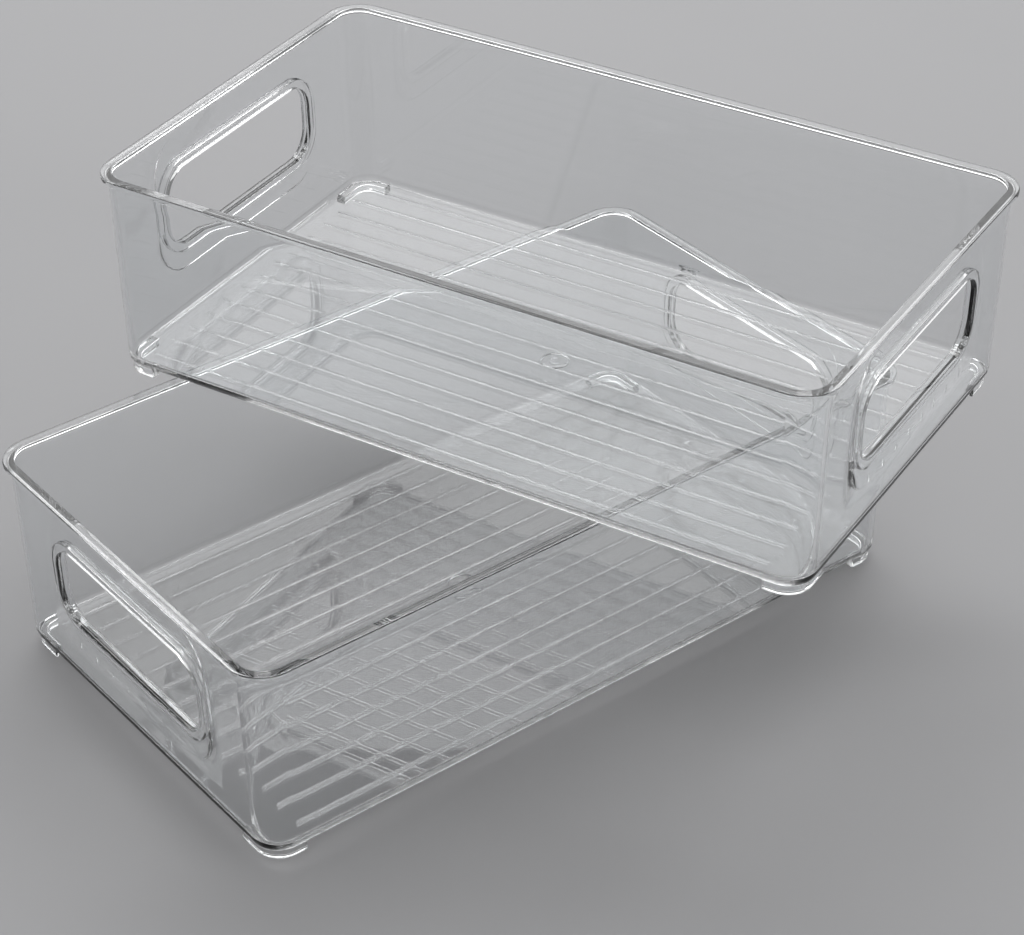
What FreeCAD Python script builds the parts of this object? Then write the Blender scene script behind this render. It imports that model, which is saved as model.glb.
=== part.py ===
import FreeCAD, Part
import math
import os

# A pair of identical clear fridge bins, the second lying crosswise on the rims of the first.
# Millimetres, +Z up. Origin: on the surface the pair stands on, under the middle of its overall box.
# +X runs along the lower bin, away from its front end.

# Overall size of one bin
bin_length = 320.0
bin_width = 185.0
bin_height = 90.0

# Walls, floor and the way they lean
wall_thickness = 2.0
floor_thickness = 2.3
end_lean = 2.0  # how far an end wall leans in from rim to base
side_lean = 0.4  # the same for a long wall
base_corner_radius = 12.0
base_edge_radius = 3.0  # outside, where a wall turns under the floor
floor_edge_radius = 2.5  # inside, where the floor turns up into a wall

# Rim flange round the top
rim_overhang = 2.6
rim_thickness = 2.3
rim_corner_radius = 15.0
rim_edge_radius = 0.6
rim_root_radius = 1.6  # under the flange, where it meets the wall

# Handle hole in each end wall, lined by a collar on both faces, on a raised pad
handle_width = 100.0
handle_height = 34.5
handle_drop = 19.5  # from the rim's top down to the hole
handle_corner_radius = 12.0
collar_width = 4.0
collar_rise_outside = 1.35  # off the wall's outer face
collar_rise_inside = 1.5  # off its inner face
collar_edge_radius = 0.4
pad_border = 5.0  # beyond the hole on each side
pad_below = 12.4  # from the hole down to the pad's lower edge
pad_corner_radius = 16.0
pad_rise = 0.8  # at the pad's lower edge; it runs out to nothing at the rim

# Fine ribs on the floor, along the bin
rib_pitch = 12.1
rib_width = 1.2
rib_rise = 0.3
rib_side_gap = 3.0
rib_back_gap = 9.5
rib_front_gap = 16.5

# Round gate mark sunk into the underside of the floor
gate_radius = 6.0
gate_depth = 0.6
gate_nub_radius = 2.0
gate_nub_rise = 0.3

# Angled corner feet
foot_height = 4.0
foot_width = 4.2
foot_inset = 1.3  # in from the outline of the base
foot_leg_lengthwise = 15.5
foot_leg_crosswise = 20.0

# How the upper bin lies on the lower one
crossing_angle = -69.1  # degrees, from the lower bin's length to the upper bin's
crossing_shift_x = 53.4
crossing_shift_y = 4.6

same_place = 0.001
cut_clearance = 1.0  # how far a cutting tool runs on past what it cuts

# Heights that follow from the sizes above
floor_top = foot_height + floor_thickness
rim_underside = bin_height - rim_thickness
hole_top = bin_height - handle_drop
hole_bottom = hole_top - handle_height
pad_bottom = hole_bottom - pad_below

UP = FreeCAD.Vector(0, 0, 1)
# Turns a flat outline drawn in X and Y so that it stands across an end wall, in Y and Z.
ACROSS_END = FreeCAD.Rotation(FreeCAD.Vector(1, 1, 1), 120)


def rounded_rectangle(half_length, half_width, corner_radius, height=0.0):
    """A level rectangle with round corners, centred on the Z axis, as a closed wire."""
    edges = []
    diagonal = corner_radius / math.sqrt(2)
    previous_end = FreeCAD.Vector(half_length, corner_radius - half_width, height)
    for side_x, side_y in ((1, 1), (-1, 1), (-1, -1), (1, -1)):
        centre = FreeCAD.Vector(
            side_x * (half_length - corner_radius), side_y * (half_width - corner_radius), height
        )
        along_x = centre + FreeCAD.Vector(side_x * corner_radius, 0, 0)
        along_y = centre + FreeCAD.Vector(0, side_y * corner_radius, 0)
        middle = centre + FreeCAD.Vector(side_x * diagonal, side_y * diagonal, 0)
        start, end = (along_x, along_y) if side_x == side_y else (along_y, along_x)
        edges.append(Part.LineSegment(previous_end, start).toShape())
        edges.append(Part.Arc(start, middle, end).toShape())
        previous_end = end
    return Part.Wire(edges)


def wall_outline(height, inset):
    """The leaning wall's outline at a height, moved in from its outer face."""
    share = (bin_height - height) / (bin_height - foot_height)
    top_corner_radius = rim_corner_radius - rim_overhang
    corner_radius = top_corner_radius + (base_corner_radius - top_corner_radius) * share
    return rounded_rectangle(
        bin_length / 2 - rim_overhang - end_lean * share - inset,
        bin_width / 2 - rim_overhang - side_lean * share - inset,
        corner_radius - inset,
        height,
    )


def wall_face_x(height):
    """Where the outer face of the front end wall lies at a height."""
    return wall_outline(height, 0).BoundBox.XMax


def rim_outline(height):
    """The flange's outer outline at a height."""
    return rounded_rectangle(bin_length / 2, bin_width / 2, rim_corner_radius, height)


def prism(outline, height):
    """A level outline raised into a solid."""
    return Part.Face(outline).extrude(UP * height)


def leaning_block(low, high, inset):
    """The solid inside the wall's outline between two heights."""
    return Part.makeLoft([wall_outline(low, inset), wall_outline(high, inset)], True, True)


def edges_along(shape, outline):
    """The edges of a shape that lie on a closed outline or a surface."""
    found = []
    for edge in shape.Edges:
        middle = edge.valueAt((edge.FirstParameter + edge.LastParameter) / 2)
        spots = [edge.Vertexes[0].Point, middle, edge.Vertexes[-1].Point]
        if all(outline.distToShape(Part.Vertex(spot))[0] < same_place for spot in spots):
            found.append(edge)
    return found


def rounded_along(shape, radius, *outlines):
    """The shape with its edges along the outlines rounded."""
    edges = [edge for outline in outlines for edge in edges_along(shape, outline)]
    return shape.makeFillet(radius, edges)


def outer_block():
    """The bin filled solid: leaning walls, rounded base and the flange at the top."""
    body = leaning_block(foot_height, bin_height, 0)
    body = rounded_along(body, base_edge_radius, wall_outline(foot_height, 0))
    body = body.fuse(prism(rim_outline(rim_underside), rim_thickness)).removeSplitter()
    body = rounded_along(body, min(rim_root_radius, 0.8 * rim_overhang), wall_outline(rim_underside, 0))
    edge_radius = min(rim_edge_radius, 0.3 * rim_thickness)
    return rounded_along(body, edge_radius, rim_outline(rim_underside), rim_outline(bin_height))


def cavity():
    """The space inside the walls, from the floor up past the rim."""
    space = leaning_block(floor_top, bin_height + cut_clearance, wall_thickness)
    return rounded_along(space, floor_edge_radius, wall_outline(floor_top, wall_thickness))


def end_outline(border, x):
    """The handle hole's outline, grown by a border, standing across the end at x."""
    outline = rounded_rectangle(
        handle_width / 2 + border, handle_height / 2 + border, handle_corner_radius + border
    )
    centre = FreeCAD.Vector(x, 0, hole_bottom + handle_height / 2)
    outline.Placement = FreeCAD.Placement(centre, ACROSS_END)
    return outline


def end_plug(border, x_from, x_to):
    """The handle hole's shape, grown by a border, as a solid through the end wall."""
    return Part.Face(end_outline(border, x_from)).extrude(FreeCAD.Vector(x_to - x_from, 0, 0))


def collar(inside_x, beyond_x):
    """The ring that lines a handle hole, standing off both faces of the wall and leaning with it."""
    outer_faces = leaning_block(foot_height, bin_height, -collar_rise_outside)
    inner_faces = leaning_block(foot_height, bin_height, wall_thickness + collar_rise_inside)
    ring = end_plug(collar_width, inside_x, beyond_x).cut(end_plug(0, inside_x, beyond_x))
    ring = ring.common(outer_faces).cut(inner_faces)
    edge_radius = min(collar_edge_radius, 0.3 * collar_width)
    return rounded_along(ring, edge_radius, outer_faces.Shells[0], inner_faces.Shells[0])


def pad(inside_x):
    """The raised pad behind the collar: proud at its lower edge, level with the wall at the rim."""
    profile = [
        FreeCAD.Vector(inside_x, 0, pad_bottom),
        FreeCAD.Vector(wall_face_x(pad_bottom) + pad_rise, 0, pad_bottom),
        FreeCAD.Vector(wall_face_x(rim_underside), 0, rim_underside),
        FreeCAD.Vector(inside_x, 0, rim_underside),
    ]
    half_width = handle_width / 2 + pad_border
    wedge = Part.Face(Part.makePolygon(profile + profile[:1])).extrude(
        FreeCAD.Vector(0, 2 * half_width, 0)
    )
    wedge.translate(FreeCAD.Vector(0, -half_width, 0))
    # Only the lower corners of this outline show; its upper ones run on past the rim.
    half_height = (rim_underside - pad_bottom) / 2 + pad_corner_radius
    outline = rounded_rectangle(half_width, half_height, pad_corner_radius)
    centre = FreeCAD.Vector(inside_x, 0, pad_bottom + half_height)
    outline.Placement = FreeCAD.Placement(centre, ACROSS_END)
    return wedge.common(Part.Face(outline).extrude(FreeCAD.Vector(bin_length, 0, 0)))


def both_ends(shape):
    """A shape at the front end, and its copy at the back end."""
    return [shape, shape.mirror(FreeCAD.Vector(0, 0, 0), FreeCAD.Vector(1, 0, 0))]


def ribs():
    """The fine ribs: evenly spaced about the middle line, as many as the flat floor takes."""
    floor_space = wall_outline(floor_top, wall_thickness).BoundBox
    usable_half_width = floor_space.YMax - floor_edge_radius - rib_side_gap
    per_side = int(usable_half_width / rib_pitch + 0.5)
    back_x = floor_space.XMin + rib_back_gap
    front_x = floor_space.XMax - rib_front_gap
    rooted = floor_thickness / 2
    solids = []
    for place in range(-per_side, per_side):
        centre_y = (place + 0.5) * rib_pitch
        corner = FreeCAD.Vector(back_x, centre_y - rib_width / 2, floor_top - rooted)
        solids.append(Part.makeBox(front_x - back_x, rib_width, rib_rise + rooted, corner))
    return solids


def gate_mark():
    """The shallow round recess at the injection point, with the nub left standing in it."""
    below = FreeCAD.Vector(0, 0, foot_height - cut_clearance)
    recess = Part.makeCylinder(gate_radius, cut_clearance + gate_depth, below)
    nub_height = min(gate_nub_rise, gate_depth)
    nub_base = FreeCAD.Vector(0, 0, foot_height + gate_depth - nub_height)
    return recess.cut(Part.makeCylinder(gate_nub_radius, nub_height, nub_base))


def feet():
    """Four angled strips that follow the corners of the base."""
    base = wall_outline(foot_height, foot_inset)
    inner = wall_outline(foot_height, foot_inset + foot_width)
    ring = prism(base, floor_top).cut(prism(inner, floor_top))
    ring.translate(UP * -foot_height)
    reach = base.BoundBox
    leg = FreeCAD.Vector(foot_leg_lengthwise, foot_leg_crosswise, 0)
    solids = []
    for side_x in (-1, 1):
        for side_y in (-1, 1):
            centre = FreeCAD.Vector(
                side_x * (reach.XMax - leg.x / 2), side_y * (reach.YMax - leg.y / 2), 0
            )
            solids.append(ring.common(Part.makeBox(leg.x, leg.y, floor_top, centre - leg / 2)))
    return solids


def bin_moulding():
    """One bin, its front end towards +X, its feet on Z = 0."""
    hidden_x = wall_face_x(foot_height) - end_lean - 2 * wall_thickness - collar_rise_inside
    beyond_x = bin_length / 2 + collar_rise_outside + cut_clearance
    shell = outer_block().fuse(both_ends(pad(hidden_x))).cut(cavity())
    inner_rim = wall_outline(bin_height, wall_thickness)
    shell = rounded_along(shell, min(rim_edge_radius, 0.3 * rim_thickness), inner_rim)
    shell = shell.cut(both_ends(end_plug(0, hidden_x, beyond_x)))
    shell = shell.fuse(both_ends(collar(hidden_x, beyond_x)) + feet() + ribs()).cut(gate_mark())
    return shell.removeSplitter()


def rim_reach(angle):
    """Half the overall size along X and Y of a rim that is turned about Z."""
    straight_x = bin_length / 2 - rim_corner_radius
    straight_y = bin_width / 2 - rim_corner_radius
    cosine = abs(math.cos(math.radians(angle)))
    sine = abs(math.sin(math.radians(angle)))
    return (
        cosine * straight_x + sine * straight_y + rim_corner_radius,
        sine * straight_x + cosine * straight_y + rim_corner_radius,
    )


def middle_of_pair():
    """The middle of the pair's overall box, seen from the lower bin's centre."""
    reach_x, reach_y = rim_reach(crossing_angle)
    low_x = min(-bin_length / 2, crossing_shift_x - reach_x)
    high_x = max(bin_length / 2, crossing_shift_x + reach_x)
    low_y = min(-bin_width / 2, crossing_shift_y - reach_y)
    high_y = max(bin_width / 2, crossing_shift_y + reach_y)
    return FreeCAD.Vector((low_x + high_x) / 2, (low_y + high_y) / 2, 0)


def placed(moulding, x, y, z, angle):
    """A copy of the moulding, turned about Z and set down relative to the pair's middle."""
    copy = moulding.copy()
    position = FreeCAD.Vector(x, y, z) - middle_of_pair()
    copy.Placement = FreeCAD.Placement(position, FreeCAD.Rotation(UP, angle))
    return copy


moulding = bin_moulding()
# The upper bin's flat floor lies on the lower rim, so its feet hang just outside that rim.
resting_height = bin_height - foot_height
nodes = {
    "lower_bin": placed(moulding, 0, 0, 0, 180),
    "upper_bin": placed(moulding, crossing_shift_x, crossing_shift_y, resting_height, crossing_angle),
}

os.makedirs("parts", exist_ok=True)
for name, shape in nodes.items():
    shape.exportStep(f"parts/{name}.step")
    box = shape.optimalBoundingBox(False)
    print(
        f"{name}: {len(shape.Solids)} solid, valid {shape.isValid()}, {shape.Volume / 1000:.1f} cm3,",
        f"X {box.XMin:.1f} to {box.XMax:.1f}, Y {box.YMin:.1f} to {box.YMax:.1f},",
        f"Z {box.ZMin:.1f} to {box.ZMax:.1f} mm",
    )
middle = middle_of_pair()
print(f"middle of the pair from the lower bin's centre: {middle.x:.3f}, {middle.y:.3f} mm")
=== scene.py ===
# %% [markdown]
# # A pair of clear fridge bins, one lying across the other
#
# Each bin is a single injection moulding in clear, colourless plastic: a ribbed floor on four corner feet,
# thin leaning walls, a flange round the rim, and a collared handle hole in each end. Clear plastic has no
# colour of its own to show. All that a viewer sees of it is bent and mirrored light at its edges, so this
# lesson spends most of its effort on edges. Every fillet, collar and rib is real geometry.
#
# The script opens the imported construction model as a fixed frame, so that each new mesh lands where the
# solid part stands.

import math

import bmesh
import bpy
from mathutils import Matrix, Vector


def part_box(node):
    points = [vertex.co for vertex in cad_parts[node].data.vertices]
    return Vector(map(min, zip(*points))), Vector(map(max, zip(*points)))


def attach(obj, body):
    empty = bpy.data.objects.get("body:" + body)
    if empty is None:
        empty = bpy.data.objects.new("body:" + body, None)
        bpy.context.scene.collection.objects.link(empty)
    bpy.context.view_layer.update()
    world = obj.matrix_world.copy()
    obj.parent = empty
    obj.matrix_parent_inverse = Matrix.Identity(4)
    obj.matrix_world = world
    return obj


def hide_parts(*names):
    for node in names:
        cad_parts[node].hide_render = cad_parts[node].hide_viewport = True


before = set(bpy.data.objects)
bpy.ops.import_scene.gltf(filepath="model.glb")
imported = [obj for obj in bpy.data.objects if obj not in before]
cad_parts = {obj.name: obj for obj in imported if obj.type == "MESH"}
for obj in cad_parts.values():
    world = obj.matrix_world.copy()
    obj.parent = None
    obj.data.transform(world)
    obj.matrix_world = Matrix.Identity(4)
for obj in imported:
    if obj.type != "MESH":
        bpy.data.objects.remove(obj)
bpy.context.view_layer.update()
MM = 0.001

# %% [markdown]
# ## Camera
#
# The pair is looked down on from its front corner through a long lens, which keeps the long edges almost
# parallel. A camera can be aimed with a tracking constraint or by hand. Three plain turns are clearer here:
# tilt down from the horizon, swing round the vertical, and a small roll.

# %% Place the camera
CAMERA_PLACE = Vector((-0.5600, -0.7443, 0.7055))
CAMERA_HEADING = math.radians(52.367)  # from +X, counter-clockwise
CAMERA_DIP = math.radians(34.977)  # below the horizon
CAMERA_ROLL = math.radians(-0.551)
LENS_MM, SENSOR_MM = 97.84, 36.0

camera_data = bpy.data.cameras.new("studio_camera")
camera_data.lens = LENS_MM
camera_data.sensor_width = SENSOR_MM
camera = bpy.data.objects.new("studio_camera", camera_data)
bpy.context.scene.collection.objects.link(camera)
quarter_turn = math.radians(90)
swing = Matrix.Rotation(CAMERA_HEADING - quarter_turn, 4, "Z")
tilt = Matrix.Rotation(quarter_turn - CAMERA_DIP, 4, "X")
roll = Matrix.Rotation(CAMERA_ROLL, 4, "Z")
camera.matrix_world = Matrix.Translation(CAMERA_PLACE) @ swing @ tilt @ roll
bpy.context.scene.camera = camera
print("camera looks along", [round(x, 3) for x in swing @ tilt @ Vector((0, 0, -1))])

# %% [markdown]
# ## Sizes of one bin
#
# Both bins come out of the same mould, so one mesh serves twice. A box with a shell modifier would be
# quick, but it can't give a flange, collars or feet. Instead the mesh is built the way a potter thinks of a
# bowl: one cross-section, carried round the outline. These are the sizes of that section, in millimetres,
# with the bin's own centre as origin and its front end towards +X.

# %% Sizes
LENGTH, WIDTH, HEIGHT = 320.0, 185.0, 90.0
WALL, FLOOR = 2.0, 2.3
FOOT = 4.0
FLOOR_TOP = FOOT + FLOOR
END_LEAN, SIDE_LEAN = 2.0, 0.4  # how far the walls come in on their way down
OVERHANG, FLANGE = 2.6, 2.3  # how far the rim's flange stands out, and how thick it is
RIM_CORNER, BASE_CORNER = 15.0, 12.0  # the corners' radii, seen from above
BASE_EDGE, FLOOR_EDGE = 3.0, 2.5  # radii between wall and floor, outside and inside
FLANGE_EDGE, FLANGE_ROOT = 0.6, 1.6  # radii on the flange's edges and in the angle under it
BREAK = 0.3  # the small break on every other edge
SUPPORT = 0.35  # how close a flat face's first loop follows a rounded edge, to keep the flat flat

low_corner, high_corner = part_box("lower_bin")
frame_size = [round(value / MM, 1) for value in high_corner - low_corner]
print("the lower bin measures", frame_size, "mm in the frame,", [LENGTH, WIDTH, HEIGHT], "mm here")

# %% [markdown]
# ## Walking round the outline
#
# A *station* is one place on the outline: a fixed distance along a straight side, or an angle on a corner.
# Every loop of the mesh has the same stations, so neighbouring loops join up in clean four-sided faces.
# Stations are set closer where something happens, such as the ends of a foot or the sides of a handle hole.
# Where a foot ends, two stations share one place: one belongs to the foot and one to the bare base. The
# faces between them become the foot's end wall, and vanish everywhere else.

# %% Marks along a wall with a handle
HANDLE_HALF, HANDLE_CORNER = 50.0, 12.0
HANDLE_LOW, HANDLE_HIGH = 36.0, 70.5
PATCH_HALF, PATCH_LOW = 61.0, 18.0  # the patch is the part of the wall that is meshed round the hole
PATCH_HIGH = HEIGHT - FLANGE - FLANGE_ROOT
FOOT_END_X, FOOT_END_Y = 138.6, 68.2  # where a foot's two arms end
CORNER_STEPS, LONG_STEPS = 14, 28  # mesh steps round a corner, and along a long wall between its feet
HALF_ARC = 5  # mesh steps from the middle of a handle corner to its end
FLAT_ACROSS, FLAT_UP = 10, 2  # mesh steps along the hole's straight edges


def spread(low, high, steps):
    """Evenly spaced values from low to high, both ends included."""
    return [low + (high - low) * step / steps for step in range(steps + 1)]


def patch_marks(edge_low, flat_low, flat_high, edge_high, flat_steps):
    """Marks along a patch's side: the middle part faces the hole's straight edge."""
    return (spread(edge_low, flat_low, HALF_ARC)[:-1] + spread(flat_low, flat_high, flat_steps)
            + spread(flat_high, edge_high, HALF_ARC)[1:])


across_marks = patch_marks(-PATCH_HALF, HANDLE_CORNER - HANDLE_HALF, HANDLE_HALF - HANDLE_CORNER,
                           PATCH_HALF, FLAT_ACROSS)
up_marks = patch_marks(PATCH_LOW, HANDLE_LOW + HANDLE_CORNER, HANDLE_HIGH - HANDLE_CORNER,
                       PATCH_HIGH, FLAT_UP)
print(len(across_marks), "marks across an end wall and", len(up_marks), "up it")

# %% [markdown]
# The four sides and four corners each list their own stations. A station says what it lies on, which side
# or corner that is, its distance or angle, and whether it stands on a foot.

# %% Stations of each side and corner


def end_stations(side):
    """Along an end wall, counter-clockwise; side is 1 at the front and -1 at the back."""
    marks = [(-FOOT_END_Y, True), (-FOOT_END_Y, False)]
    marks += [(mark, False) for mark in across_marks]
    marks += [(FOOT_END_Y, False), (FOOT_END_Y, True)]
    return [("end", side, side * mark, on_foot) for mark, on_foot in marks]


def long_stations(side):
    """Along a long wall, counter-clockwise; side is 1 at +Y."""
    marks = [(FOOT_END_X, True), (FOOT_END_X, False)]
    marks += [(mark, False) for mark in spread(FOOT_END_X, -FOOT_END_X, LONG_STEPS)[1:-1]]
    marks += [(-FOOT_END_X, False), (-FOOT_END_X, True)]
    return [("long", side, side * mark, on_foot) for mark, on_foot in marks]


def corner_stations(side_x, side_y, first_angle):
    """Round one corner."""
    return [("corner", (side_x, side_y), angle, True)
            for angle in spread(first_angle, first_angle + 90, CORNER_STEPS)]


stations = (end_stations(1) + corner_stations(1, 1, 0)
            + long_stations(1) + corner_stations(-1, 1, 90)
            + end_stations(-1) + corner_stations(-1, -1, 180)
            + long_stations(-1) + corner_stations(1, -1, 270))
print(len(stations), "stations round the outline")

# %% [markdown]
# ## The cross-section
#
# The section is a list of points, each an inset from the wall's outer face and a height. It starts under
# the floor, climbs the outside, turns over the flange and comes down inside to the floor. Where it passes a
# foot it takes a detour down to the table. Each rounded edge is an arc of its own, because a real radius is
# what catches the light in clear plastic.

# %% The section at the base, bare and at a foot
FOOT_INSET, FOOT_WIDTH = 1.3, 4.2
EDGE_STEPS, SMALL_STEPS, BREAK_STEPS = 8, 4, 2
UNDER_STEPS = 7  # from the inside of a foot to the base's rounded edge


def arc(centre, radius, first, last, steps):
    """Points on an arc of the section; angles in degrees, with inset as the first axis."""
    return [(centre[0] + radius * math.cos(math.radians(angle)),
             centre[1] + radius * math.sin(math.radians(angle)))
            for angle in spread(first, last, steps)]


def base_section():
    """(bare, at a foot) points from under the floor up to where the leaning wall starts."""
    turn = arc((BASE_EDGE, FOOT + BASE_EDGE), BASE_EDGE, 270, 180, EDGE_STEPS)
    foot_out, foot_in = FOOT_INSET, FOOT_INSET + FOOT_WIDTH
    bare = [(foot_in + 3 * SUPPORT, FOOT), (foot_in + 2 * SUPPORT, FOOT), (foot_in + SUPPORT, FOOT)]
    foot = [(foot_in + 3 * SUPPORT, FOOT), (foot_in + BREAK, FOOT), (foot_in, FOOT - BREAK)]
    bare += [(inset, FOOT) for inset in spread(foot_in, BASE_EDGE + SUPPORT, UNDER_STEPS)]
    foot += [(foot_in, FOOT / 2)] + arc((foot_in - BREAK, BREAK), BREAK, 0, -90, BREAK_STEPS)
    foot += [((foot_in + foot_out) / 2, 0)]
    foot += arc((foot_out + BREAK, BREAK), BREAK, -90, -180, BREAK_STEPS)
    meeting = [point for point in turn if point[0] < foot_out]
    climb = len(turn) - len(meeting)
    bare += turn
    foot += [(foot_out, height) for height in spread(BREAK, meeting[0][1], climb)[:-1]] + meeting
    assert len(bare) == len(foot)
    return bare, foot


bare_base, foot_base = base_section()
print(len(bare_base), "points from under the floor to the wall")

# %% [markdown]
# The wall, the rim flange and the inside are the same at every station, so they are written once and added
# to both versions of the base.

# %% The section's wall, rim and inside
rim_section = (
    [(0.0, height) for height in [FOOT + BASE_EDGE + SUPPORT] + up_marks[:-1]]
    + arc((-FLANGE_ROOT, PATCH_HIGH), FLANGE_ROOT, 0, 90, EDGE_STEPS)
    + arc((FLANGE_EDGE - OVERHANG, HEIGHT - FLANGE + FLANGE_EDGE), FLANGE_EDGE, 270, 180, SMALL_STEPS)
    + arc((FLANGE_EDGE - OVERHANG, HEIGHT - FLANGE_EDGE), FLANGE_EDGE, 180, 90, SMALL_STEPS)
    + [(FLANGE_EDGE + SUPPORT / 2 - OVERHANG, HEIGHT),
       (WALL - FLANGE_EDGE - SUPPORT / 2, HEIGHT)]
    + arc((WALL - FLANGE_EDGE, HEIGHT - FLANGE_EDGE), FLANGE_EDGE, 90, 0, SMALL_STEPS)
)
inside_section = (
    [(WALL, height) for height in [HEIGHT - FLANGE_EDGE - SUPPORT] + up_marks[::-1]]
    + [(WALL, FLOOR_TOP + FLOOR_EDGE + SUPPORT)]
    + arc((WALL + FLOOR_EDGE, FLOOR_TOP + FLOOR_EDGE), FLOOR_EDGE, 180, 270, EDGE_STEPS)
    + [(WALL + FLOOR_EDGE + SUPPORT, FLOOR_TOP)]
)
bare_section = bare_base + rim_section + inside_section
foot_section = foot_base + rim_section + inside_section
print(len(bare_section), "points in the section")

# %% [markdown]
# ## From section to surface
#
# One function turns a station and a section point into a place in space. The walls lean, so the outline
# shrinks a little towards the base, and its corners get tighter with every millimetre of inset.

# %% Place a section point at a station


def lean_share(height):
    """0 at the rim and 1 at the base."""
    return (HEIGHT - height) / (HEIGHT - FOOT)


def wall_x(height):
    """Where the front wall's outer face is at a height."""
    return LENGTH / 2 - OVERHANG - END_LEAN * lean_share(height)


def wall_y(height):
    """Where a long wall's outer face is at a height."""
    return WIDTH / 2 - OVERHANG - SIDE_LEAN * lean_share(height)


def surface_point(station, point):
    """The place, in the bin's own frame, of a section point at a station."""
    kind, side, mark, _ = station
    inset, height = point
    half_x, half_y = wall_x(height) - inset, wall_y(height) - inset
    if kind == "end":
        return Vector((side * half_x, mark, height))
    if kind == "long":
        return Vector((mark, side * half_y, height))
    top_corner = RIM_CORNER - OVERHANG
    radius = top_corner + (BASE_CORNER - top_corner) * lean_share(height) - inset
    centre = Vector((side[0] * (half_x - radius), side[1] * (half_y - radius), height))
    angle = math.radians(mark)
    return centre + radius * Vector((math.cos(angle), math.sin(angle), 0))


first_corner = stations[len(end_stations(1))]
rim_corner = surface_point(first_corner, (0, HEIGHT))
print("the first corner starts at", [round(x, 1) for x in rim_corner], "mm at the rim")

# %% [markdown]
# ## Building the shell
#
# Loops of points are joined into bands of four-sided faces. Two windows stay open in each end, one outside
# and one inside, where the handle hole is let in afterwards.

# %% Windows for the handles
OUTER_ROW = len(bare_base) + 1
INNER_ROW = len(bare_base) + len(rim_section) + 1
WINDOW_ROWS = len(up_marks)
WINDOW_COLUMNS = len(across_marks)
window_starts = {
    side: next(index for index, station in enumerate(stations)
               if station[:2] == ("end", side) and abs(station[2]) == PATCH_HALF)
    for side in (1, -1)
}


def in_window(row, column):
    """True if the face above this row and after this column belongs to a handle window."""
    row_in = any(first <= row < first + WINDOW_ROWS - 1 for first in (OUTER_ROW, INNER_ROW))
    column_in = any(first <= column < first + WINDOW_COLUMNS - 1
                    for first in window_starts.values())
    return row_in and column_in


print("windows start at stations", list(window_starts.values()))

# %% [markdown]
# The shell itself is then a plain walk along the section: one loop of vertices for each section point, and
# one band of faces back to the loop before it.

# %% Bands of faces


def add_loop(mesh, points):
    """New vertices of a mesh, one per point."""
    return [mesh.verts.new(point) for point in points]


def bridge(mesh, first, second, skip=lambda column: False):
    """A closed band of faces between two loops of equally many vertices."""
    count = len(first)
    for column in range(count):
        if not skip(column):
            after = (column + 1) % count
            mesh.faces.new((first[column], first[after], second[after], second[column]))


def add_shell(mesh):
    """The bin without its flats and handles; returns its loops, from under the floor inwards."""
    loops = []
    for row in range(len(bare_section)):
        points = [surface_point(station, (foot_section if station[3] else bare_section)[row])
                  for station in stations]
        loops.append(add_loop(mesh, points))
        if row:
            bridge(mesh, loops[row - 1], loops[row], lambda column: in_window(row - 1, column))
    return loops


print(len(bare_section), "loops of", len(stations), "vertices will make the shell")

# %% [markdown]
# ## Handle holes
#
# Each hole is punched by a sliding core in the mould. A collar lines it and stands off both faces of the
# wall, so that fingers meet a thick, smooth edge, and a faint raised pad lies round it. The collar is nearly
# five millimetres deep from lip to lip. Its flat inside works as a mirror within the plastic, and that is
# the bright band along the top of a hole; with large round lips the band would break up into streaks.
#
# A boolean cut would leave long thin faces that shade badly in clear plastic. Loops that grow outwards from
# the hole's edge, in step with the window's border, keep every face four-sided and give each radius its own
# loops.

# %% Handle outlines
COLLAR, COLLAR_EDGE, COLLAR_ROOT = 4.0, 0.4, 0.2
COLLAR_OUTSIDE, COLLAR_INSIDE = 1.35, 1.5  # how far it stands off the two faces of the wall
LIP_STEPS = 6
PAD_HALF, PAD_LOW, PAD_HIGH, PAD_CORNER = 55.0, 23.6, 85.0, 16.0
PAD_RISE = 0.8
PAD_STEPS = ((-0.45, 1.0), (-0.2, 0.9), (0.0, 0.5), (0.2, 0.1), (0.45, 0.0))  # growth, share of rise


def outline_loop(half, low, high, radius):
    """(y, z) points round an upright rounded rectangle, from the middle of its lower left corner."""
    left, right = radius - half, half - radius
    corners = ((left, low + radius, 225), (right, low + radius, 315),
               (right, high - radius, 45), (left, high - radius, 135))
    points = []
    for index, (y, z, middle) in enumerate(corners):
        next_y, next_z, _ = corners[(index + 1) % 4]
        leaving = arc((y, z), radius, middle, middle + 45, HALF_ARC)
        arriving = arc((next_y, next_z), radius, middle + 45, middle + 90, HALF_ARC)
        flat_steps = FLAT_UP if index % 2 else FLAT_ACROSS
        flat = [tuple(Vector(leaving[-1]).lerp(Vector(arriving[0]), step / flat_steps))
                for step in range(1, flat_steps)]
        points += leaving + flat + arriving[:-1]
    return points


def hole_loop(border):
    """The handle hole's outline, grown by a border."""
    return outline_loop(HANDLE_HALF + border, HANDLE_LOW - border, HANDLE_HIGH + border,
                        HANDLE_CORNER + border)


def pad_rise(height):
    """How proud the pad stands: most at its lower edge, nothing under the flange."""
    rim_underside = HEIGHT - FLANGE
    return PAD_RISE * (rim_underside - height) / (rim_underside - PAD_LOW)


print(len(hole_loop(0)), "points round a handle hole")

# %% [markdown]
# Each loop lies at its own distance from the hole and at its own height on the collar. The pad follows the
# wall's lean but fades out towards the rim, so its loops are placed from the wall's face at their height.

# %% Collar and pad loops


def outer_face(height):
    """Where the wall's outer face is with its pad."""
    return wall_x(height) + pad_rise(height)


def inner_face(height):
    """Where the wall's inner face is."""
    return wall_x(height) - WALL


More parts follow.
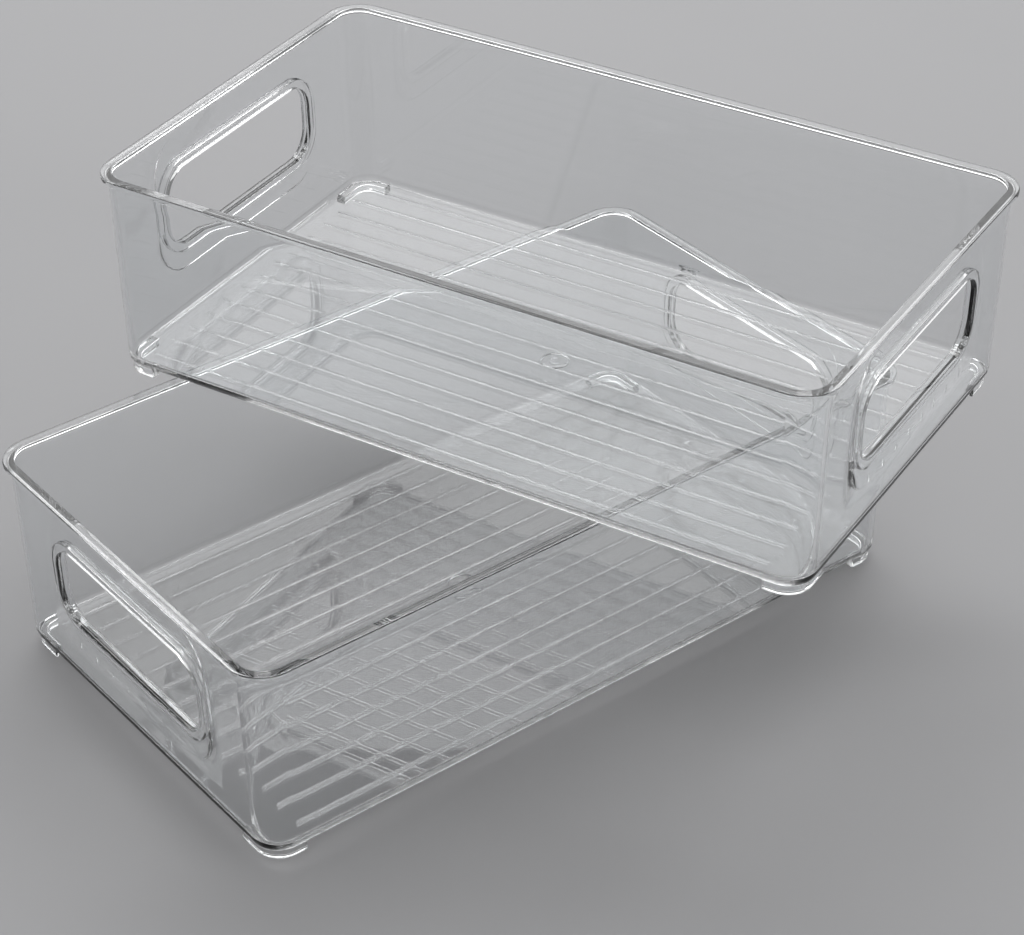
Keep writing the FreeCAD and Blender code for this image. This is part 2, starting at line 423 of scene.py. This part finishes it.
def collar_loops(top_face, foot_face, outward):
    """Loops of (x, y, z) over one side of the collar, from the hole's lip down to the wall."""
    lip = arc((COLLAR_EDGE, -COLLAR_EDGE), COLLAR_EDGE, 180, 90, LIP_STEPS)
    edge = arc((COLLAR - COLLAR_EDGE, -COLLAR_EDGE), COLLAR_EDGE, 90, 0, SMALL_STEPS)
    flat = [(COLLAR_EDGE + SUPPORT, 0), (COLLAR - COLLAR_EDGE - SUPPORT, 0)]
    rows = [[(top_face(z) + outward * along, y, z) for y, z in hole_loop(across)]
            for across, along in lip + flat + edge]
    rows.append([(foot_face(z), y, z) for y, z in hole_loop(COLLAR + COLLAR_ROOT)])
    return rows


def outside_loops():
    """Loops from the hole's outer lip over the collar and the pad to the wall."""
    rows = collar_loops(lambda z: wall_x(z) + COLLAR_OUTSIDE, outer_face, 1)
    for grown, share in PAD_STEPS:
        loop = outline_loop(PAD_HALF + grown, PAD_LOW - grown, PAD_HIGH + grown,
                            PAD_CORNER + grown)
        rows.append([(wall_x(z) + share * pad_rise(z), y, z) for y, z in loop])
    return rows


def inside_loops():
    """Loops from the hole's inner lip over the collar to the inner wall."""
    return collar_loops(lambda z: inner_face(z) - COLLAR_INSIDE, inner_face, -1)


print(len(outside_loops()), "loops outside,", len(inside_loops()), "inside; the hole is",
      COLLAR_OUTSIDE + WALL + COLLAR_INSIDE, "mm deep")

# %% [markdown]
# The last loop of each side has as many points as the border of its window, in the same order, so one more
# band of faces closes the gap. A band through the wall joins the outer lip to the inner one.

# %% Let the handles into the windows


def window_border(loops, first_row, first_column, rising):
    """The shell's vertices round a window, in the order of an outline loop.

    Rows of the section rise on the outside of the wall and fall on the inside.
    """
    columns = range(first_column, first_column + WINDOW_COLUMNS)
    rows = list(range(first_row, first_row + WINDOW_ROWS))
    if not rising:
        rows.reverse()
    return ([loops[rows[0]][column] for column in columns[:-1]]
            + [loops[row][columns[-1]] for row in rows[:-1]]
            + [loops[rows[-1]][column] for column in reversed(columns[1:])]
            + [loops[row][columns[0]] for row in reversed(rows[1:])])


def add_handle(mesh, loops, side):
    """The collared hole in the front (side 1) or back (side -1) wall."""
    edges = []
    for rows, first_row, rising in ((outside_loops(), OUTER_ROW, True),
                                    (inside_loops(), INNER_ROW, False)):
        chain = [add_loop(mesh, [(side * x, side * y, z) for x, y, z in row]) for row in rows]
        edges.append(chain[0])
        chain.append(window_border(loops, first_row, window_starts[side], rising))
        for inner, outer in zip(chain, chain[1:]):
            bridge(mesh, inner, outer)
    bridge(mesh, *edges)


print("a window's border has", 2 * (WINDOW_ROWS + WINDOW_COLUMNS) - 4, "points, like a hole's loop")

# %% [markdown]
# ## Floor: ribs and gate mark
#
# The floor's flats are filled in last. Ribs and the round gate mark, left where the plastic was injected,
# start as closed outlines inside the flat. The fill goes round them, and each is then raised or sunk by a
# few small loops of its own. A rib's flanks are mirrors as well as lenses. Steep ones throw the lamps back
# as hard white lines, so a rib is drawn as a low round swell, about a seventh of a millimetre high. The
# first two loops of its profile lie level on the floor. Without them the smooth shading would bend the whole
# floor between two ribs into a wave.

# %% Ribs and gate mark
# A profile's pairs are how far the outline has grown, or its radius, and how high or deep it lies there.
RIB_PITCH, RIBS_PER_SIDE = 12.1, 7
RIB_BACK, RIB_FRONT = -144.0, 137.0
RIB_PROFILE = ((0.8, 0.0), (0.4, 0.0), (0.25, 0.01), (0.1, 0.04), (-0.1, 0.09), (-0.3, 0.13),
               (-0.5, 0.145))
RIB_HALF, RIB_END_STEPS = 0.6, 8
GATE_PROFILE = ((6.4, 0.0), (6.0, 0.0), (5.9, 0.5), (5.6, 0.6), (2.4, 0.6), (2.0, 0.55),
                (1.9, 0.35), (1.6, 0.3))
GATE_STEPS = 40


def rib_outline(centre_y, half):
    """(x, y) points round one rib, with round ends."""
    ends = arc((RIB_FRONT - RIB_HALF, centre_y), half, -90, 90, RIB_END_STEPS)
    return ends + arc((RIB_BACK + RIB_HALF, centre_y), half, 90, 270, RIB_END_STEPS)


def add_stack(mesh, rows):
    """Loops joined one above another and closed by a cap; returns the first loop's edges."""
    chain = [add_loop(mesh, row) for row in rows]
    for lower, upper in zip(chain, chain[1:]):
        bridge(mesh, lower, upper)
    mesh.faces.new(chain[-1])
    first = chain[0]
    return [mesh.edges.get((first[index - 1], first[index])) for index in range(len(first))]


def add_ribs(mesh):
    """All the ribs; returns the edges where they meet the floor."""
    edges = []
    for place in range(-RIBS_PER_SIDE, RIBS_PER_SIDE):
        centre_y = (place + 0.5) * RIB_PITCH
        rows = [[(x, y, FLOOR_TOP + rise) for x, y in rib_outline(centre_y, RIB_HALF + grown)]
                for grown, rise in RIB_PROFILE]
        edges += add_stack(mesh, rows)
    return edges


def add_gate_mark(mesh):
    """The sunk gate mark under the floor; returns the edges of its rim."""
    turns = [math.radians(angle) for angle in spread(0, 360, GATE_STEPS)[:-1]]
    rows = [[(radius * math.cos(turn), radius * math.sin(turn), FOOT + depth) for turn in turns]
            for radius, depth in GATE_PROFILE]
    return add_stack(mesh, rows)


print(2 * RIBS_PER_SIDE, "ribs,", RIB_PROFILE[-1][1], "mm high; gate mark",
      2 * GATE_PROFILE[1][0], "mm across")

# %% [markdown]
# What is left open is one flat on top of the floor and one under it, each with islands in it. A triangle
# fill takes the outline and the islands' edges together and covers only the area between them. The flats are
# level, so their long triangles shade evenly.

# %% Fill a flat


def fill_flat(mesh, outline, island_edges, up):
    """Fills a level area between an outline and the features standing in it."""
    border = {edge for vert in outline if vert.is_valid for edge in vert.link_edges
              if edge.is_boundary and edge.other_vert(vert) in outline}
    bmesh.ops.triangle_fill(mesh, use_beauty=True, edges=list(border) + island_edges, normal=up)


print("the flat on top goes round", 2 * RIBS_PER_SIDE, "ribs and the one below round the gate mark")

# %% [markdown]
# ## One moulding
#
# The pieces come together here. Coinciding stations are merged, which closes up the faces that they left
# empty, and the count of open edges has to be zero: clear plastic only bends light properly when it is a
# sealed volume.

# %% Make the mesh
WELD = 1e-4
SHARP_ANGLE = math.radians(50)


def make_bin_mesh():
    """The finished moulding as mesh data, in metres."""
    mesh = bmesh.new()
    loops = add_shell(mesh)
    for side in (1, -1):
        add_handle(mesh, loops, side)
    rib_edges, gate_edges = add_ribs(mesh), add_gate_mark(mesh)
    first, last = set(loops[0]), set(loops[-1])
    bmesh.ops.remove_doubles(mesh, verts=mesh.verts[:], dist=WELD)
    bottom = {vert for vert in first if vert.is_valid}
    top = {vert for vert in last if vert.is_valid}
    fill_flat(mesh, top, rib_edges, (0, 0, 1))
    fill_flat(mesh, bottom, gate_edges, (0, 0, -1))
    bmesh.ops.recalc_face_normals(mesh, faces=mesh.faces[:])
    open_edges = sum(not edge.is_manifold for edge in mesh.edges)
    print(len(mesh.verts), "vertices,", len(mesh.faces), "faces,", open_edges, "open edges,",
          round(mesh.calc_volume() / 1000, 1), "cm3 of plastic")
    bmesh.ops.scale(mesh, vec=(MM, MM, MM), verts=mesh.verts[:])
    data = bpy.data.meshes.new("bin_moulding")
    mesh.to_mesh(data)
    mesh.free()
    data.shade_smooth()
    data.set_sharp_from_angle(angle=SHARP_ANGLE)
    return data


moulding = make_bin_mesh()

# %% [markdown]
# ## Setting the bins down
#
# The lower bin stands with its front end towards the camera's left. The upper one is turned across it, its
# flat floor on the lower rim, so its feet hang just outside that rim. Each bin takes its place from the
# solid that it stands for: the middle of that solid's box.
#
# Two faces of clear plastic that share one plane would melt into each other in a render, as if glued with
# water. Real ones touch at a few high spots with air between them, so the upper bin is drawn a hair high.

# %% Place both bins
CROSSING = math.radians(-69.1)
AIR = 0.08  # millimetres between the upper bin's floor and the lower bin's rim


def place_bin(node, turn, air=0.0):
    """A bin in place of a construction node, turned about the vertical."""
    low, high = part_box(node)
    middle = (low + high) / 2
    place = Vector((middle.x, middle.y, low.z + air * MM))
    piece = bpy.data.objects.new(node + "_moulding", moulding.copy())
    bpy.context.scene.collection.objects.link(piece)
    piece.data.transform(Matrix.Translation(place) @ Matrix.Rotation(turn, 4, "Z"))
    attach(piece, node)
    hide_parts(node)
    print(piece.name, "stands at", [round(x / MM, 2) for x in place], "mm")
    return piece


lower_bin = place_bin("lower_bin", math.radians(180))
upper_bin = place_bin("upper_bin", CROSSING, AIR)

# %% [markdown]
# ## Surface effects as node groups
#
# No moulded face is perfectly flat and no used one is perfectly clean. The plastic shrinks unevenly as it
# cools, which leaves a slow swell that bends each reflection a little, and hands and stacking leave hazy
# patches and short fine scratches. A painted floor has both too, at another scale. Painted image maps could
# do this, but they need unwrapping and stay tied to one size. Noise in a node group is worked out in space,
# has its sizes as named inputs, and serves both materials with their own values.

# %% Start a group
VALUE_SOCKET = "NodeSocketFloat"


def new_group(name, inputs, outputs):
    """An empty group with named value sockets; returns it with its input and output nodes."""
    group = bpy.data.node_groups.new(name, "ShaderNodeTree")
    for label, value in inputs:
        socket = group.interface.new_socket(label, in_out="INPUT", socket_type=VALUE_SOCKET)
        socket.default_value = value
    for label in outputs:
        group.interface.new_socket(label, in_out="OUTPUT", socket_type=VALUE_SOCKET)
    return group, group.nodes.new("NodeGroupInput"), group.nodes.new("NodeGroupOutput")


def output_names(group):
    """What a group puts out."""
    return [item.name for item in group.interface.items_tree if item.in_out == "OUTPUT"]


print("groups pass values through", VALUE_SOCKET)

# %% [markdown]
# Three helpers do the work inside a group: noise of a given size in metres, a soft step that keeps only the
# tops of the noise, and one step of arithmetic. Each returns a socket that the next one can take.

# %% Noise, bands and arithmetic


def noise_in(group, size_socket, detail, stretch=(1, 1, 1)):
    """A noise texture whose blotches measure what the size socket says, in metres."""
    place = group.nodes.new("ShaderNodeTexCoord")
    squeeze = group.nodes.new("ShaderNodeMapping")
    squeeze.inputs["Scale"].default_value = stretch
    count = group.nodes.new("ShaderNodeMath")
    count.operation = "DIVIDE"
    count.inputs[0].default_value = 1.0
    noise = group.nodes.new("ShaderNodeTexNoise")
    noise.inputs["Detail"].default_value = detail
    group.links.new(place.outputs["Object"], squeeze.inputs["Vector"])
    group.links.new(squeeze.outputs["Vector"], noise.inputs["Vector"])
    group.links.new(size_socket, count.inputs[1])
    group.links.new(count.outputs[0], noise.inputs["Scale"])
    return noise.outputs[0]


def band_in(group, value, low, high):
    """The value's climb from low to high as a soft step from 0 to 1."""
    step = group.nodes.new("ShaderNodeMapRange")
    step.interpolation_type = "SMOOTHSTEP"
    step.inputs["From Min"].default_value = low
    step.inputs["From Max"].default_value = high
    group.links.new(value, step.inputs["Value"])
    return step.outputs["Result"]


def math_in(group, operation, first, second):
    """One step of arithmetic on two values, each a socket or a number."""
    node = group.nodes.new("ShaderNodeMath")
    node.operation = operation
    for socket, value in zip(node.inputs, (first, second)):
        if isinstance(value, (int, float)):
            socket.default_value = value
        else:
            group.links.new(value, socket)
    return node.outputs[0]


print("noise, bands and arithmetic can be added to a group or a material")

# %% [markdown]
# The swell is broad smooth noise with a small share of finer ripple on top. It is far flatter than it looks:
# the plastic's bump takes it as seven thousandths of a millimetre, because the eye is quick to see a
# reflection bend.

# %% Slow swell
SMOOTH, FINE, FINEST = 0.0, 1.0, 3.0  # how much detail a noise has

swell, swell_in, swell_out = new_group(
    "slow_swell", [("Swell Size", 0.03), ("Ripple Size", 0.006), ("Ripple Share", 0.15)], ["Height"])
broad = noise_in(swell, swell_in.outputs["Swell Size"], SMOOTH)
ripple = noise_in(swell, swell_in.outputs["Ripple Size"], FINE)
ripple = math_in(swell, "MULTIPLY", ripple, swell_in.outputs["Ripple Share"])
swell.links.new(math_in(swell, "ADD", broad, ripple), swell_out.inputs["Height"])
print(swell.name, "puts out", output_names(swell))

# %% [markdown]
# Haze and scratches go together, since both come from handling. Scratches are noise stretched out along one
# direction or the other, cut off so high that only thin streaks remain, and kept to the hazy patches.

# %% Handling marks
HAZE_BAND, WORN_BAND, STREAK_BAND = (0.45, 0.75), (0.4, 0.6), (0.66, 0.72)
STREAK_DETAIL = 2.0
STREAK_WAYS = ((0.12, 1.6, 1.0), (1.6, 0.12, 1.0))

marks, marks_in, marks_out = new_group(
    "handling_marks", [("Patch Size", 0.05), ("Scratch Size", 0.004)], ["Haze", "Scratches"])
patches = noise_in(marks, marks_in.outputs["Patch Size"], FINEST)
marks.links.new(band_in(marks, patches, *HAZE_BAND), marks_out.inputs["Haze"])
scratch_size = marks_in.outputs["Scratch Size"]
one_way, other_way = [noise_in(marks, scratch_size, STREAK_DETAIL, way) for way in STREAK_WAYS]
crossed = math_in(marks, "MAXIMUM", band_in(marks, one_way, *STREAK_BAND),
                  band_in(marks, other_way, *STREAK_BAND))
worn = math_in(marks, "MULTIPLY", crossed, band_in(marks, patches, *WORN_BAND))
marks.links.new(worn, marks_out.inputs["Scratches"])
print(marks.name, "puts out", output_names(marks))

# %% [markdown]
# ## Clear plastic
#
# The plastic is a Principled shader with full transmission and the refractive index of clear styrene. Its
# roughness is almost nothing, with a trace of haze where hands go and a little more in each scratch. A
# glass shader would do the same with fewer sockets, but Principled also travels to other programs.
#
# A lamp's light can't find its way through such a shader in a render, and the bins would stand in black
# shadow. So lamps see a tinted Transparent shader in its place, darker where a face is seen edge on, and the
# shadow on the floor stays light with fine darker lines, as under real clear plastic. The floor's own
# light passes the same way.

# %% Groups and relief in a material
MIX_A, MIX_B, MIX_RESULT = 6, 7, 2  # the colour sockets of a Mix node, whose names repeat


def use_group(material, group, **values):
    """A group placed in a material, with its inputs set by name."""
    node = material.node_tree.nodes.new("ShaderNodeGroup")
    node.node_tree = group
    for label, value in values.items():
        node.inputs[label.replace("_", " ").title()].default_value = value
    return node


def add_relief(material, height, depth):
    """A bump node of a real depth in metres, from a height between 0 and 1."""
    bump = material.node_tree.nodes.new("ShaderNodeBump")
    bump.inputs["Distance"].default_value = depth
    material.node_tree.links.new(height, bump.inputs["Height"])
    return bump.outputs["Normal"]


def colour_mix(material, factor, first, second):
    """A Mix node between two plain colours; returns its result."""
    mix = material.node_tree.nodes.new("ShaderNodeMix")
    mix.data_type = "RGBA"
    mix.inputs[MIX_A].default_value = first
    mix.inputs[MIX_B].default_value = second
    material.node_tree.links.new(factor, mix.inputs[0])
    return mix.outputs[MIX_RESULT]


print("a material can take", swell.name, "and", marks.name)

# %% [markdown]
# The material takes the marks into its roughness and the swell into its normal. Two Mix Shader nodes then
# choose by the kind of ray: a shadow ray finds the tinted Transparent shader, a diffuse ray a nearly clear
# one, and every other ray the plastic itself.

# %% Clear plastic
PLASTIC_INDEX = 1.58
PLASTIC_TINT = (0.97, 0.98, 0.985, 1)
PASS_FACING, PASS_EDGE_ON = (0.97, 0.97, 0.97, 1), (0.1, 0.1, 0.1, 1)
PASS_FLOOR_LIGHT = (0.96, 0.96, 0.96, 1)
SWELL_DEPTH = 0.000007  # metres
HAZE_ROUGHNESS, SCRATCH_ROUGHNESS = 0.01, 0.05


def choose(material, path_socket, usual, chosen):
    """The usual shader, or the chosen one for one kind of ray."""
    mix = material.node_tree.nodes.new("ShaderNodeMixShader")
    for socket, source in zip(mix.inputs, (path_socket, usual, chosen)):
        material.node_tree.links.new(source, socket)
    return mix.outputs[0]


def make_plastic():
    """Clear styrene with its moulding swell and handling marks."""
    material = bpy.data.materials.new("clear_plastic")
    material.use_nodes = True
    nodes, links = material.node_tree.nodes, material.node_tree.links
    plastic, output = nodes["Principled BSDF"], nodes["Material Output"]
    plastic.inputs["Base Color"].default_value = PLASTIC_TINT
    plastic.inputs["Transmission Weight"].default_value = 1.0
    plastic.inputs["IOR"].default_value = PLASTIC_INDEX
    relief = use_group(material, swell, swell_size=0.035, ripple_size=0.009, ripple_share=0.08)
    links.new(add_relief(material, relief.outputs["Height"], SWELL_DEPTH), plastic.inputs["Normal"])
    wear = use_group(material, marks, patch_size=0.06, scratch_size=0.005)
    haze = math_in(material.node_tree, "MULTIPLY", wear.outputs["Haze"], HAZE_ROUGHNESS)
    scratch = math_in(material.node_tree, "MULTIPLY", wear.outputs["Scratches"], SCRATCH_ROUGHNESS)
    links.new(math_in(material.node_tree, "ADD", haze, scratch), plastic.inputs["Roughness"])
    glance = nodes.new("ShaderNodeFresnel")
    glance.inputs["IOR"].default_value = PLASTIC_INDEX
    lamp_side = nodes.new("ShaderNodeBsdfTransparent")
    passed = colour_mix(material, glance.outputs[0], PASS_FACING, PASS_EDGE_ON)
    links.new(passed, lamp_side.inputs["Color"])
    room_side = nodes.new("ShaderNodeBsdfTransparent")
    room_side.inputs["Color"].default_value = PASS_FLOOR_LIGHT
    path = nodes.new("ShaderNodeLightPath").outputs
    surface = choose(material, path["Is Shadow Ray"], plastic.outputs[0], lamp_side.outputs[0])
    surface = choose(material, path["Is Diffuse Ray"], surface, room_side.outputs[0])
    links.new(surface, output.inputs["Surface"])
    return material


clear_plastic = make_plastic()
for piece in (lower_bin, upper_bin):
    piece.data.materials.append(clear_plastic)
print(clear_plastic.name, "has", len(clear_plastic.node_tree.nodes), "nodes")

# %% [markdown]
# ## Floor
#
# Clear plastic needs something to stand on that is plain and even, yet not white. White plastic edges can
# only show against a tone that is darker than they are. So the floor is a mid grey paint with a faint swell
# and a faint mottle. It is a plane many times as wide as the view, so that no edge of it comes near.

# %% Floor paint
PAINT_TONE, WORN_TONE = (0.43, 0.43, 0.44, 1), (0.415, 0.415, 0.425, 1)
PAINT_ROUGHNESS, PAINT_RELIEF = 0.65, 0.0001  # the relief is in metres


def make_floor_paint():
    """Matt grey paint with a slight mottle."""
    material = bpy.data.materials.new("floor_paint")
    material.use_nodes = True
    paint, links = material.node_tree.nodes["Principled BSDF"], material.node_tree.links
    wear = use_group(material, marks, patch_size=0.25, scratch_size=0.02)
    tone = colour_mix(material, wear.outputs["Haze"], PAINT_TONE, WORN_TONE)
    links.new(tone, paint.inputs["Base Color"])
    paint.inputs["Roughness"].default_value = PAINT_ROUGHNESS
    relief = use_group(material, swell, swell_size=0.12, ripple_size=0.004, ripple_share=0.2)
    links.new(add_relief(material, relief.outputs["Height"], PAINT_RELIEF), paint.inputs["Normal"])
    return material


floor_paint = make_floor_paint()
print(floor_paint.name, "reflects", PAINT_TONE[0], "of the light")

# %% [markdown]
# The floor itself is one large face. It lies a hair under the feet, because a render can't tell which of
# two faces in one plane a ray meets first.

# %% Floor
FLOOR_REACH = 6.0  # metres from the middle to the edge
FLOOR_DROP = 0.0002

floor_mesh = bpy.data.meshes.new("floor")
floor_corners = [(x * FLOOR_REACH, y * FLOOR_REACH, 0) for x, y in ((-1, -1), (1, -1), (1, 1), (-1, 1))]
floor_mesh.from_pydata(floor_corners, [], [(0, 1, 2, 3)])
floor_mesh.materials.append(floor_paint)
floor = bpy.data.objects.new("studio_floor", floor_mesh)
bpy.context.scene.collection.objects.link(floor)
floor.location.z = -FLOOR_DROP
print("floor is", 2 * FLOOR_REACH, "m square")

# %% [markdown]
# ## Light
#
# Clear plastic is lit for its edges. A long narrow softbox behind the bins and above them draws thin bright
# lines on every rounded edge and rib that faces it. A broad dim one lies where the level faces mirror the
# camera's view, and fills the rims, the floors and the handle bands. A white ceiling gives most of the even
# light. The surroundings could give it too, but kept dim they turn each edge that mirrors the horizon into a
# dark line, and that is what makes a clear shape readable.
#
# Each softbox is set by the brightness of its face, where 1 is plain white, so that its size can change
# without changing what a reflection shows.

# %% Softboxes
AIM = Vector((0, 0, 0.08))


def softbox(name, place, width, depth, brightness):
    """A rectangular lamp aimed at the bins, whose face shows that brightness."""
    data = bpy.data.lights.new(name, "AREA")
    data.shape = "RECTANGLE"
    data.size, data.size_y = width, depth
    data.energy = brightness * math.pi * width * depth  # a flat lamp spreads its watts over pi
    lamp = bpy.data.objects.new(name, data)
    bpy.context.scene.collection.objects.link(lamp)
    lamp.location = place
    lamp.rotation_euler = (AIM - Vector(place)).to_track_quat("-Z", "Y").to_euler()
    print(name, "gives", round(data.energy, 1), "watts")
    return lamp


softbox("softbox_strip", (0.70, 0.70, 1.40), width=2.4, depth=0.35, brightness=4.5)
softbox("softbox_back", (1.50, 1.95, 1.45), width=3.0, depth=1.2, brightness=1.2)

# %% [markdown]
# The ceiling is a sun lamp with a very wide disc. A lamp at a finite height would light the floor under it
# and leave the rest dark. The surroundings get a second, paler strength for the camera alone, so that the
# backdrop above the floor looks pale without adding any light.

# %% Ceiling and surroundings
CEILING_LIGHT = 1.1  # watts on each square metre below
CEILING_SPREAD = math.radians(80)
DIM_ROOM, SEEN_BACKDROP = 0.2, 0.42
WHITE = (1, 1, 1, 1)


def light_ceiling():
    """A very soft sun straight above, which lights the floor evenly as far as it goes."""
    data = bpy.data.lights.new("ceiling", "SUN")
    data.energy, data.angle = CEILING_LIGHT, CEILING_SPREAD
    bpy.context.scene.collection.objects.link(bpy.data.objects.new("ceiling", data))


def make_world():
    """Dim surroundings that look pale where the camera sees them behind the floor."""
    world = bpy.data.worlds.new("studio")
    world.use_nodes = True
    nodes, links = world.node_tree.nodes, world.node_tree.links
    room, output = nodes["Background"], nodes["World Output"]
    backdrop = nodes.new("ShaderNodeBackground")
    for surface, strength in ((room, DIM_ROOM), (backdrop, SEEN_BACKDROP)):
        surface.inputs["Color"].default_value = WHITE
        surface.inputs["Strength"].default_value = strength
    path, seen = nodes.new("ShaderNodeLightPath"), nodes.new("ShaderNodeMixShader")
    links.new(path.outputs["Is Camera Ray"], seen.inputs[0])
    links.new(room.outputs[0], seen.inputs[1])
    links.new(backdrop.outputs[0], seen.inputs[2])
    links.new(seen.outputs[0], output.inputs["Surface"])
    return world


light_ceiling()
bpy.context.scene.world = make_world()
print("room strength", DIM_ROOM, "and", SEEN_BACKDROP, "where it is seen")

# %% [markdown]
# ## How far light is followed
#
# Looking through both bins crosses sixteen faces or more, and inside a wall light bounces from face to face
# many times before it leaves at an edge. With the usual limits those paths end in black, so all of them are
# raised.

# %% Bounce limits and colour
BOUNCES = 32
cycles = bpy.context.scene.cycles
cycles.max_bounces = BOUNCES
cycles.transmission_bounces = BOUNCES
cycles.glossy_bounces = BOUNCES
cycles.transparent_max_bounces = BOUNCES
bpy.context.scene.view_settings.view_transform = "Standard"
print("light is followed for", BOUNCES, "bounces")
